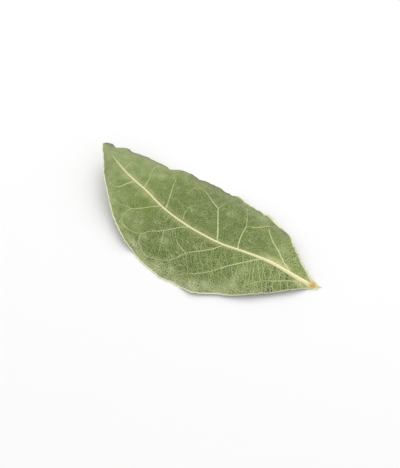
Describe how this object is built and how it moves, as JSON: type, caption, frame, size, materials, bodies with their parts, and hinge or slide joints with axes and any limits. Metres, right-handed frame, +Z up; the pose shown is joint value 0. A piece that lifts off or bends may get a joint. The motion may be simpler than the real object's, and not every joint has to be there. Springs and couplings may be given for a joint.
{
  "type": "dried bay leaf",
  "caption": "Dried bay leaf lying with its ribbed lower face up: an arched blade with waved margins, a raised midrib, side veins and a torn stalk end.",
  "frame": {"origin": "middle of the lowest face of the leaf's box, on the surface that the leaf rests on", "axes": "+X along the leaf from its tip to its stalk end, +Y towards the rear long margin, +Z up out of the leaf's ribbed lower face, which lies uppermost"},
  "size_m": [0.083, 0.0382, 0.0083],
  "materials": {
    "dried_blade": "matte"
  },
  "bodies": {
    "root": {"bay_leaf": "dried_blade"}
  },
  "joints": []
}
